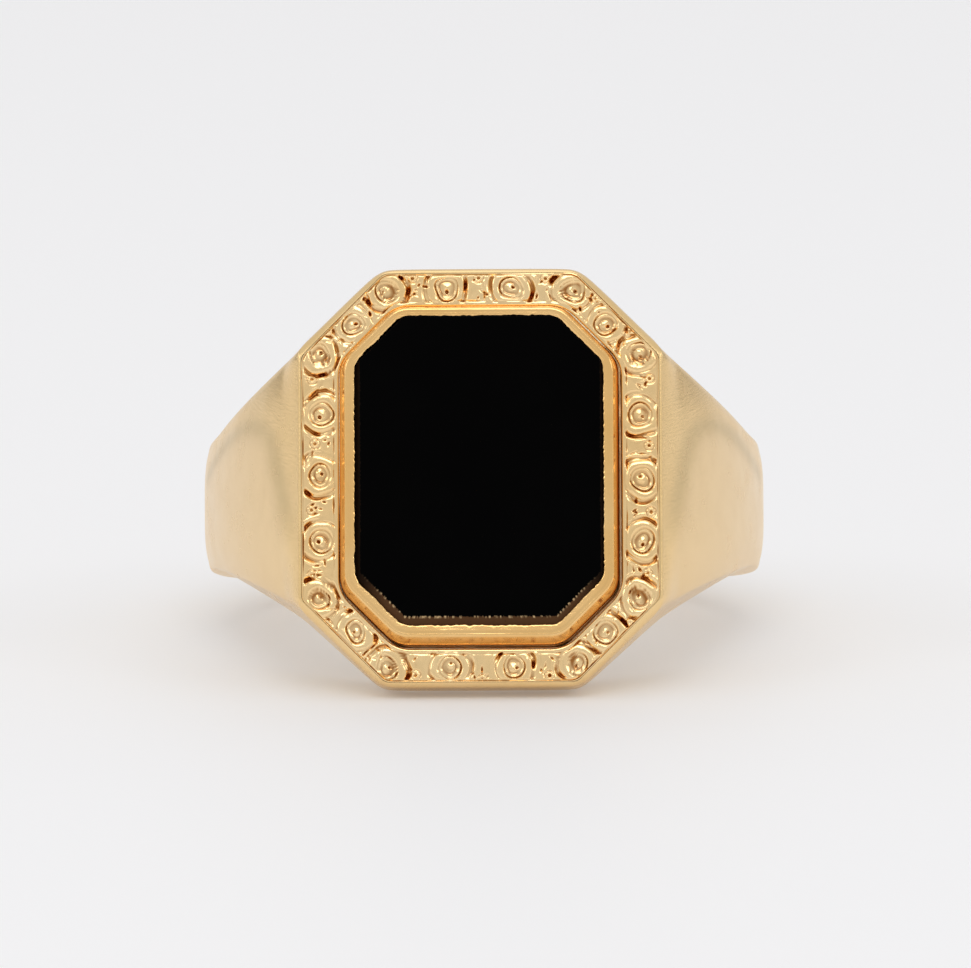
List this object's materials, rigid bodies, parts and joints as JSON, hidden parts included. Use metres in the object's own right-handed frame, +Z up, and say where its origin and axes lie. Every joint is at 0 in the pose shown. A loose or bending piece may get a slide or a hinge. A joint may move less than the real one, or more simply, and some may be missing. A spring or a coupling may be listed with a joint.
{
  "type": "signet ring",
  "caption": "Gold signet ring with an eight-sided head, a chased rosette border and a flat black stone in a raised collet.",
  "frame": {"origin": "centre of the hoop's bore, where the bore's axis crosses the ring's mid-plane", "axes": "The ring as it lies on a table, on the head's lower edge and the back of the hoop: +Z up, -Y the way the head faces, +X to the right of someone who looks at the head. The bore's axis leans back from +Z by the angle at which the ring lies."},
  "size_m": [0.0224, 0.0257, 0.0164],
  "materials": {
    "gold_satin": "satin-polished yellow gold",
    "gold_chased": "chased and polished yellow gold",
    "gold_bright": "bright-polished yellow gold",
    "gold_solder": "gold solder, a little paler than the ring",
    "onyx": "polished black onyx",
    "cement": "dark setter's cement"
  },
  "bodies": {
    "root": {"shank": "gold_satin", "shank_seam": "gold_solder", "border_plate": "gold_chased", "collet": "gold_bright", "collet_solder": "gold_solder", "bearing": "gold_bright", "setting_cement": "cement", "stone": "onyx"}
  },
  "joints": []
}
